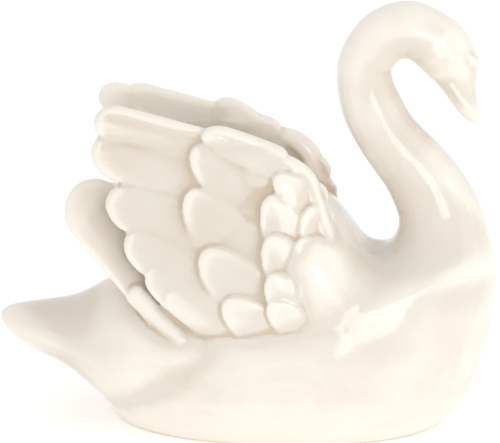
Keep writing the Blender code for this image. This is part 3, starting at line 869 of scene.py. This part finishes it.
def add_folded_feather(bm, side, sizes):
    """The feather folded below the fan: a long paddle with a round tip."""
    tip_x, tip_z, heading, length, width, tip_depth, root_depth = FOLDED_FEATHER[side]
    back = math.radians(heading)
    along = (-math.cos(back), math.sin(back))
    across = (math.sin(back), math.cos(back))
    proud = sizes.feather_proud / sizes.millimetre()
    thick = sizes.feather_thickness / sizes.millimetre()
    bend = 2.0 / FOLDED_POWER
    round_tip = FOLDED_TIP * width / length

    def place(share, angle):
        run = 0.5 * (1.0 - math.cos(share * math.pi))
        to_tip = (1.0 - run) / round_tip
        to_root = run / FOLDED_ROOT
        swell = math.sqrt(max(0.0, 1.0 - (1.0 - min(to_tip, 1.0)) ** 2))
        swell *= math.sqrt(max(0.0, 1.0 - (1.0 - min(to_root, 1.0)) ** 2))
        sideways = 0.5 * width * swell * signed_power(math.cos(angle), bend)
        back_off = (run - 1.0) * length
        x = tip_x + along[0] * back_off + across[0] * sideways
        z = tip_z + along[1] * back_off + across[1] * sideways
        lift = proud * (1.0 - FOLDED_SINK * (1.0 - run)) - 0.5 * thick
        lift -= FOLDED_TILT * sideways + root_depth + (tip_depth - root_depth) * run
        upward = signed_power(math.sin(angle), bend)
        y = wing_face(x, z) + lift + 0.5 * thick * swell ** FOLDED_THINNING * upward
        return Vector((x, side * y, z))

    pulled_sphere(bm, *FOLDED_MESHES, place)


def add_root_fill(bm, side):
    """Clay in the slit between the folded feather's root, the wing and the body."""
    for step in range(ROOT_FILL_BALLS):
        share = step / (ROOT_FILL_BALLS - 1)
        x, z = (a + (b - a) * share for a, b in zip(ROOT_FILL_START, ROOT_FILL_END))
        ball(bm, (x, side * (wing_face(x, z) - ROOT_FILL_DEPTH), z), ROOT_FILL_RADIUS)


def add_wing_roll(bm, side):
    """The smooth roll that ends the wing in front, as one bent tube."""

    def place(share, angle):
        x, z, depth, radius = curve_through(WING_ROLL, share)
        behind = curve_through(WING_ROLL, share - ROLL_STEP)
        ahead = curve_through(WING_ROLL, share + ROLL_STEP)
        along = Vector((ahead[0] - behind[0], 0.0, ahead[1] - behind[1])).normalized()
        upward = Vector((-along.z, 0.0, along.x))
        swell = min(1.0, math.sqrt(min(share, max(1.0 - share, 0.0)) / ROLL_END))
        point = Vector((x, 0.0, z)) + upward * (radius * swell * math.sin(angle))
        point.y = side * (wing_face(x, z) - depth + radius * swell * math.cos(angle))
        return point

    pulled_sphere(bm, *ROLL_MESHES, place)


def add_wing(bm, side, sizes):
    """One raised wing: its wall with the feathers, its front roll and the folded feathers."""
    add_wing_wall(bm, side, sizes)
    add_wing_roll(bm, side)
    add_folded_feather(bm, side, sizes)
    add_root_fill(bm, side)


def link_object(name, mesh):
    """Put a mesh into the scene as an object of that name."""
    thing = bpy.data.objects.new(name, mesh)
    bpy.context.scene.collection.objects.link(thing)
    return thing


def wear_down(thing, rounds):
    """Add a modifier that wears a mesh evenly, for some rounds."""
    wear = thing.modifiers.new("wear", "SMOOTH")
    wear.factor = WEAR
    wear.iterations = rounds
    return wear


def as_modified(thing):
    """The mesh as an object's modifiers leave it; the object and its first mesh go."""
    first = thing.data
    graph = bpy.context.evaluated_depsgraph_get()
    mesh = bpy.data.meshes.new_from_object(thing.evaluated_get(graph))
    bpy.data.objects.remove(thing)
    bpy.data.meshes.remove(first)
    return mesh


def skin_of(bm, grain, rounds):
    """Join closed forms into one skin of that grain, worn evenly for some rounds."""
    bmesh.ops.recalc_face_normals(bm, faces=bm.faces)
    mesh = bpy.data.meshes.new("clay")
    bm.to_mesh(mesh)
    bm.free()
    clay = link_object("clay", mesh)
    join = clay.modifiers.new("join", "REMESH")
    join.mode = "VOXEL"
    join.voxel_size = grain
    wear_down(clay, rounds)
    return as_modified(clay)


def add_masses(bm, neck_stations):
    """The body, the tail, the saddle and the neck, as far as it is asked for."""
    add_body(bm)
    add_upright_slices(bm, TAIL_SLICES, TAIL_POWER)
    add_upright_slices(bm, SADDLE_SLICES, SADDLE_POWER)
    add_neck_and_head(bm, neck_stations)


def add_fillets(bm, sizes):
    """Fill the inner corners between the masses with worn copies of them."""
    worn = bmesh.new()
    add_masses(worn, NECK_STATIONS[:NECK_FOOT_STATIONS])
    skin = skin_of(worn, sizes.fillet_grain / sizes.millimetre(), sizes.fillet_rounds)
    bm.from_mesh(skin)
    bpy.data.meshes.remove(skin)


def fewer_triangles(mesh, most):
    """Merge what lies nearly flat until the mesh has no more than so many triangles."""
    mesh.calc_loop_triangles()
    share = most / max(len(mesh.loop_triangles), 1)
    if share >= 1.0:
        return mesh
    carrier = link_object("carrier", mesh)
    thin_out = carrier.modifiers.new("thin_out", "DECIMATE")
    thin_out.ratio = share
    return as_modified(carrier)


def cut_foot(mesh, foot_height):
    """Cut the casting off flat where it stands, and round the foot's edge."""
    bm = bmesh.new()
    bm.from_mesh(mesh)
    whole = bm.verts[:] + bm.edges[:] + bm.faces[:]
    bmesh.ops.bisect_plane(
        bm,
        geom=whole,
        dist=CUT_TOLERANCE,
        plane_co=(0.0, 0.0, 0.0),
        plane_no=(0.0, 0.0, -1.0),
        clear_outer=True,
    )
    rim = [edge for edge in bm.edges if edge.is_boundary]
    bmesh.ops.holes_fill(bm, edges=rim, sides=0)
    underside = [
        face for face in bm.faces
        if face.normal.z < CUT_LEVEL and face.calc_center_median().z < CUT_HEIGHT
    ]
    bmesh.ops.inset_region(bm, faces=underside, thickness=foot_height, depth=0.0)
    bmesh.ops.triangulate(bm, faces=[face for face in bm.faces if len(face.verts) > 4])
    for vert in bm.verts:
        low = max(0.0, 1.0 - vert.co.z / foot_height)
        drawn_in = FOOT_DRAWN_IN * foot_height * low ** 2
        flat = Vector((vert.co.x, vert.co.y, 0.0))
        if flat.length > foot_height:
            vert.co -= flat.normalized() * drawn_in
    bm.to_mesh(mesh)
    bm.free()


def fit_inside_solid(mesh):
    """Draw the casting in by the last tenths of a millimetre that it stands out of the solid's box."""
    places = np.empty(len(mesh.vertices) * 3)
    mesh.vertices.foreach_get("co", places)
    places = places.reshape(-1, 3)
    for axis in range(3):
        above = places[:, axis] > 0.0
        below = places[:, axis] < 0.0
        for half, edge in ((above, SOLID_HIGH[axis]), (below, SOLID_LOW[axis])):
            reach = np.abs(places[half, axis]).max() if half.any() else 0.0
            if reach > abs(edge) > 0.0:
                places[half, axis] *= abs(edge) / reach
    mesh.vertices.foreach_set("co", places.ravel())
    mesh.update()


def store_concavity(mesh):
    """Store how deep each point lies between its neighbours, 1 in a hollow and -1 on an edge: it darkens
    the hollows, partly as gathered glaze and partly as painted shade, and pales the edges.
    """
    count = len(mesh.vertices)
    places = np.empty(count * 3)
    mesh.vertices.foreach_get("co", places)
    places = places.reshape(-1, 3)
    normals = np.empty(count * 3)
    mesh.vertex_normals.foreach_get("vector", normals)
    normals = normals.reshape(-1, 3)
    ends = np.empty(len(mesh.edges) * 2, dtype=np.int64)
    mesh.edges.foreach_get("vertices", ends)
    start, end = ends[0::2], ends[1::2]
    valence = np.bincount(ends, minlength=count)[:, None]
    averaged = places.copy()
    for _ in range(DEPTH_ROUNDS):
        total = np.zeros_like(averaged)
        for axis in range(3):
            total[:, axis] = np.bincount(start, averaged[end, axis], count)
            total[:, axis] += np.bincount(end, averaged[start, axis], count)
        averaged = total / valence
    depth = ((averaged - places) * normals).sum(axis=1) / FULL_DEPTH
    layer = mesh.attributes.new("concavity", "FLOAT", "POINT")
    layer.data.foreach_set("value", np.clip(depth, -1.0, 1.0).astype(np.float32))


def rise_between(values, start, stop):
    """0 up to the start, 1 from the stop on, and straight between them."""
    return np.clip((values - start) / (stop - start), 0.0, 1.0)


def soften_breast(mesh, rounds):
    """Wear the seam between the neck's foot and the breast until they flow together."""
    places = np.empty(len(mesh.vertices) * 3)
    mesh.vertices.foreach_get("co", places)
    x, y, z = places.reshape(-1, 3).T
    share = rise_between(x, *BREAST_FROM) * rise_between(z, *BREAST_LOW)
    share *= 1.0 - rise_between(z, *BREAST_HIGH)
    share *= np.maximum(rise_between(np.abs(y), *BREAST_ASIDE), rise_between(x, *BREAST_FRONT))
    clay = link_object("clay", mesh)
    breast = clay.vertex_groups.new(name="breast")
    for index in np.flatnonzero(share):
        breast.add([int(index)], float(share[index]), "REPLACE")
    wear_down(clay, rounds).vertex_group = breast.name
    return as_modified(clay)


def cast_swan(sizes):
    """Model the whole casting as one mesh, in metres."""
    bm = bmesh.new()
    add_masses(bm, NECK_STATIONS)
    add_fillets(bm, sizes)
    add_face(bm)
    for side in (RIGHT, LEFT):
        add_wing(bm, side, sizes)
    mesh = skin_of(bm, sizes.clay_grain / sizes.millimetre(), sizes.glaze_rounds)
    mesh = soften_breast(mesh, sizes.breast_rounds)
    mesh = fewer_triangles(mesh, sizes.most_triangles)
    mesh.transform(Matrix.Scale(sizes.millimetre(), 4))
    cut_foot(mesh, sizes.foot_height)
    fit_inside_solid(mesh)
    mesh.shade_smooth()
    return mesh


def add_node(tree, kind, settings=None, inputs=None):
    """Add a node, set its settings, and give its inputs values or links from (node, output)."""
    node = tree.nodes.new(kind)
    for name, value in (settings or {}).items():
        setattr(node, name, value)
    for name, value in (inputs or {}).items():
        if isinstance(value, tuple) and isinstance(value[0], bpy.types.Node):
            tree.links.new(value[0].outputs[value[1]], node.inputs[name])
        else:
            node.inputs[name].default_value = value
    return node


def new_material(name):
    """A material with an empty node tree but for its shader."""
    material = bpy.data.materials.new(name)
    material.use_nodes = True
    return material, material.node_tree, material.node_tree.nodes["Principled BSDF"]


def glazed_earthenware(colours, sizes):
    """Slip-cast white earthenware under a clear, warm glaze, fired glossy.

    The eye sees one ivory colour that is never quite even: it drifts over the
    broad forms, darkens brown-grey in the hollows, partly where glaze gathered
    and partly as painted shade, and pales over the edges. The shine is sharp but
    wavers, because the glaze ran before it set.
    """
    material, tree, shader = new_material("ivory_glazed_earthenware")
    place = add_node(tree, "ShaderNodeTexCoord")
    drift = add_node(tree, "ShaderNodeTexNoise", None, {
        "Vector": (place, "Object"), "Scale": 1.0 / DRIFT_SIZE, "Detail": 3.0, "Roughness": 0.45,
    })
    drift_share = add_node(tree, "ShaderNodeMapRange", None, {
        "Value": (drift, "Fac"), "From Min": DRIFT_RANGE[0], "From Max": DRIFT_RANGE[1],
    })
    body = add_node(tree, "ShaderNodeMix", {"data_type": "RGBA"}, {
        MIX_SHARE: (drift_share, "Result"), COLOUR_A: colours.ivory, COLOUR_B: colours.cream,
    })
    depth = add_node(tree, "ShaderNodeAttribute", {"attribute_name": "concavity"})
    # Painted shade in the hollows, together with the darker glaze gathered there.
    hollow = add_node(tree, "ShaderNodeMapRange", {"interpolation_type": "SMOOTHSTEP"}, {
        "Value": (depth, "Fac"),
        "From Min": HOLLOW_RANGE[0],
        "From Max": HOLLOW_RANGE[1],
        "To Max": HOLLOW_MOST,
    })
    edge = add_node(tree, "ShaderNodeMapRange", {"interpolation_type": "SMOOTHSTEP"}, {
        "Value": (depth, "Fac"),
        "From Min": EDGE_RANGE[0],
        "From Max": EDGE_RANGE[1],
        "To Max": EDGE_MOST,
    })
    with_hollows = add_node(tree, "ShaderNodeMix", {"data_type": "RGBA"}, {
        MIX_SHARE: (hollow, "Result"), COLOUR_A: (body, COLOUR_MIXED), COLOUR_B: colours.pool_shade_and_stain,
    })
    with_edges = add_node(tree, "ShaderNodeMix", {"data_type": "RGBA"}, {
        MIX_SHARE: (edge, "Result"), COLOUR_A: (with_hollows, COLOUR_MIXED), COLOUR_B: colours.thin,
    })

    # The glaze line wavers a little above the wiped foot.
    line_wobble = add_node(tree, "ShaderNodeTexNoise", None, {
        "Vector": (place, "Object"), "Scale": 1.0 / LINE_WAVE_SIZE, "Detail": 2.0,
    })
    parts = add_node(tree, "ShaderNodeSeparateXYZ", None, {"Vector": (place, "Object")})
    wobbled = add_node(tree, "ShaderNodeMath", {"operation": "MULTIPLY_ADD"}, {
        0: (line_wobble, "Fac"), 1: LINE_WAVE_HEIGHT * sizes.foot_height, 2: (parts, "Z"),
    })
    glazed = add_node(tree, "ShaderNodeMapRange", None, {
        "Value": (wobbled, "Value"),
        "From Min": LINE_RANGE[0] * sizes.foot_height,
        "From Max": LINE_RANGE[1] * sizes.foot_height,
    })
    colour = add_node(tree, "ShaderNodeMix", {"data_type": "RGBA"}, {
        MIX_SHARE: (glazed, "Result"), COLOUR_A: colours.bisque, COLOUR_B: (with_edges, COLOUR_MIXED),
    })
    tree.links.new(colour.outputs[COLOUR_MIXED], shader.inputs["Base Color"])

    # Glossy where glazed, with faint matt drifts, and chalky on the bare foot.
    sheen_drift = add_node(tree, "ShaderNodeTexNoise", None, {
        "Vector": (place, "Object"), "Scale": 1.0 / SHEEN_SIZE, "Detail": 4.0,
    })
    glaze_roughness = add_node(tree, "ShaderNodeMapRange", None, {
        "Value": (sheen_drift, "Fac"),
        "From Min": SHEEN_RANGE[0],
        "From Max": SHEEN_RANGE[1],
        "To Min": GLAZE_ROUGHNESS[0],
        "To Max": GLAZE_ROUGHNESS[1],
    })
    roughness = add_node(tree, "ShaderNodeMix", {"data_type": "FLOAT"}, {
        MIX_SHARE: (glazed, "Result"), NUMBER_A: FOOT_ROUGHNESS, NUMBER_B: (glaze_roughness, "Result"),
    })
    tree.links.new(roughness.outputs[NUMBER_MIXED], shader.inputs["Roughness"])
    shader.inputs["IOR"].default_value = GLAZE_IOR

    # The waver of the glaze, a few millimetres from crest to crest, and the
    # finer peel that fired glazes have.
    waver = add_node(tree, "ShaderNodeTexNoise", None, {
        "Vector": (place, "Object"), "Scale": 1.0 / WAVER_SIZE, "Detail": 1.0,
    })
    peel = add_node(tree, "ShaderNodeTexNoise", None, {
        "Vector": (place, "Object"), "Scale": 1.0 / PEEL_SIZE, "Detail": 2.0,
    })
    wavering = add_node(tree, "ShaderNodeBump", None, {
        "Height": (waver, "Fac"), "Strength": WAVER_STRENGTH, "Distance": WAVER_HEIGHT,
    })
    peeling = add_node(tree, "ShaderNodeBump", None, {
        "Height": (peel, "Fac"),
        "Strength": PEEL_STRENGTH,
        "Distance": PEEL_HEIGHT,
        "Normal": (wavering, "Normal"),
    })
    tree.links.new(peeling.outputs["Normal"], shader.inputs["Normal"])
    return material


def bare_earthenware(colours):
    """Bare fired earthenware, as on the wiped underside: chalky, with fine grain."""
    material, tree, shader = new_material("bare_earthenware")
    place = add_node(tree, "ShaderNodeTexCoord")
    grain = add_node(tree, "ShaderNodeTexNoise", None, {
        "Vector": (place, "Object"), "Scale": 1.0 / GRAIN_SIZE, "Detail": 5.0,
    })
    stain = add_node(tree, "ShaderNodeTexNoise", None, {
        "Vector": (place, "Object"), "Scale": 1.0 / STAIN_SIZE, "Detail": 3.0,
    })
    share = add_node(tree, "ShaderNodeMapRange", None, {
        "Value": (stain, "Fac"),
        "From Min": STAIN_RANGE[0],
        "From Max": STAIN_RANGE[1],
        "To Max": STAIN_MOST,
    })
    colour = add_node(tree, "ShaderNodeMix", {"data_type": "RGBA"}, {
        MIX_SHARE: (share, "Result"), COLOUR_A: colours.bisque, COLOUR_B: colours.pool_shade_and_stain,
    })
    tree.links.new(colour.outputs[COLOUR_MIXED], shader.inputs["Base Color"])
    roughness = add_node(tree, "ShaderNodeMapRange", None, {
        "Value": (grain, "Fac"), "To Min": BARE_ROUGHNESS[0], "To Max": BARE_ROUGHNESS[1],
    })
    tree.links.new(roughness.outputs["Result"], shader.inputs["Roughness"])
    bump = add_node(tree, "ShaderNodeBump", None, {
        "Height": (grain, "Fac"), "Strength": GRAIN_STRENGTH, "Distance": GRAIN_HEIGHT,
    })
    tree.links.new(bump.outputs["Normal"], shader.inputs["Normal"])
    return material


def pale_floor(colours):
    """Smooth matt board, lit from behind: even and pale, with the faintest tooth."""
    material, tree, shader = new_material("pale_board")
    place = add_node(tree, "ShaderNodeTexCoord")
    tooth = add_node(tree, "ShaderNodeTexNoise", None, {
        "Vector": (place, "Object"), "Scale": 1.0 / TOOTH_SIZE, "Detail": 3.0,
    })
    bump = add_node(tree, "ShaderNodeBump", None, {
        "Height": (tooth, "Fac"), "Strength": TOOTH_STRENGTH, "Distance": TOOTH_HEIGHT,
    })
    tree.links.new(bump.outputs["Normal"], shader.inputs["Normal"])
    shader.inputs["Base Color"].default_value = colours.floor
    shader.inputs["Roughness"].default_value = FLOOR_ROUGHNESS
    shader.inputs["Emission Color"].default_value = colours.floor
    shader.inputs["Emission Strength"].default_value = FLOOR_GLOW
    return material


def around_target(azimuth, elevation, distance):
    """A place seen from the target, by its angles round the swan and above the level."""
    return TARGET + distance * Vector((
        math.sin(azimuth) * math.cos(elevation),
        -math.cos(azimuth) * math.cos(elevation),
        math.sin(elevation),
    ))


def face_target(thing):
    """Turn a light or a camera so that it looks at the target."""
    thing.rotation_mode = "QUATERNION"
    thing.rotation_quaternion = (thing.location - TARGET).to_track_quat("Z", "Y")


def add_panel_light(name, place, power):
    """A soft panel that faces the target."""
    data = bpy.data.lights.new(name, "AREA")
    data.shape = "RECTANGLE"
    data.size, data.size_y = place.size
    data.energy = power
    lamp = bpy.data.objects.new(name, data)
    lamp.location = around_target(place.azimuth, place.elevation, place.distance)
    face_target(lamp)
    lamp.visible_camera = False
    bpy.context.scene.collection.objects.link(lamp)


class SWAN_OT_cast(bpy.types.Operator):
    """Cast and glaze the swan in the place of its solid"""

    bl_idname = "swan.cast"
    bl_label = "Cast the Swan"
    bl_options = {"REGISTER", "UNDO"}

    def execute(self, context):
        sizes = context.scene.swan_sizes
        colours = context.scene.swan_colours
        mesh = cast_swan(sizes)
        store_concavity(mesh)
        mesh.materials.append(glazed_earthenware(colours, sizes))
        mesh.materials.append(bare_earthenware(colours))
        for face in mesh.polygons:
            if face.normal.z < BARE_LEVEL and face.center.z < BARE_HEIGHT:
                face.material_index = 1
        mesh.name = "glazed_swan"
        swan = link_object("glazed_swan", mesh)
        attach(swan, "root")
        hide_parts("swan")
        return {"FINISHED"}


class SWAN_OT_stage(bpy.types.Operator):
    """Lay the pale floor, set the soft lights and place the camera"""

    bl_idname = "swan.stage"
    bl_label = "Set the Stage"
    bl_options = {"REGISTER", "UNDO"}

    def execute(self, context):
        scene = context.scene
        studio = scene.swan_studio

        bm = bmesh.new()
        bmesh.ops.create_grid(bm, x_segments=1, y_segments=1, size=FLOOR_REACH)
        mesh = bpy.data.meshes.new("floor")
        bm.to_mesh(mesh)
        bm.free()
        mesh.materials.append(pale_floor(scene.swan_colours))
        floor = link_object("floor", mesh)

        world = bpy.data.worlds.new("white_room")
        world.use_nodes = True
        background = world.node_tree.nodes["Background"]
        background.inputs["Color"].default_value = (1.0, 1.0, 1.0, 1.0)
        background.inputs["Strength"].default_value = studio.surround
        scene.world = world

        add_panel_light("softbox", SOFTBOX, studio.softbox)
        add_panel_light("side_panel", SIDE_PANEL, studio.side_panel)

        data = bpy.data.cameras.new("camera")
        data.sensor_width = SENSOR_WIDTH
        data.lens = data.sensor_width * studio.distance / studio.view_width
        camera = bpy.data.objects.new("camera", data)
        camera.location = around_target(studio.azimuth, studio.elevation, studio.distance)
        face_target(camera)
        scene.collection.objects.link(camera)
        scene.camera = camera
        scene.view_settings.view_transform = "Standard"
        return {"FINISHED"}


class SWAN_PT_panel(bpy.types.Panel):
    """The swan's sizes, colours and studio"""

    bl_idname = "SWAN_PT_panel"
    bl_label = "Ceramic Swan"
    bl_space_type = "VIEW_3D"
    bl_region_type = "UI"
    bl_category = "Swan"

    def draw(self, context):
        layout = self.layout
        for group in (context.scene.swan_sizes, context.scene.swan_colours, context.scene.swan_studio):
            box = layout.box()
            for name in group.bl_rna.properties.keys():
                if name not in {"rna_type", "name"}:
                    box.prop(group, name)
        layout.operator(SWAN_OT_cast.bl_idname)
        layout.operator(SWAN_OT_stage.bl_idname)


CLASSES = (SwanSizes, SwanColours, SwanStudio, SWAN_OT_cast, SWAN_OT_stage, SWAN_PT_panel)


def register():
    """Make the classes and the settings known."""
    for known in CLASSES:
        bpy.utils.register_class(known)
    bpy.types.Scene.swan_sizes = bpy.props.PointerProperty(type=SwanSizes)
    bpy.types.Scene.swan_colours = bpy.props.PointerProperty(type=SwanColours)
    bpy.types.Scene.swan_studio = bpy.props.PointerProperty(type=SwanStudio)


def unregister():
    """Take the settings and the classes back."""
    del bpy.types.Scene.swan_studio
    del bpy.types.Scene.swan_colours
    del bpy.types.Scene.swan_sizes
    for known in reversed(CLASSES):
        bpy.utils.unregister_class(known)


def main():
    """Make everything in order."""
    register()
    bpy.ops.swan.cast()
    bpy.ops.swan.stage()


if __name__ == "__main__":
    main()
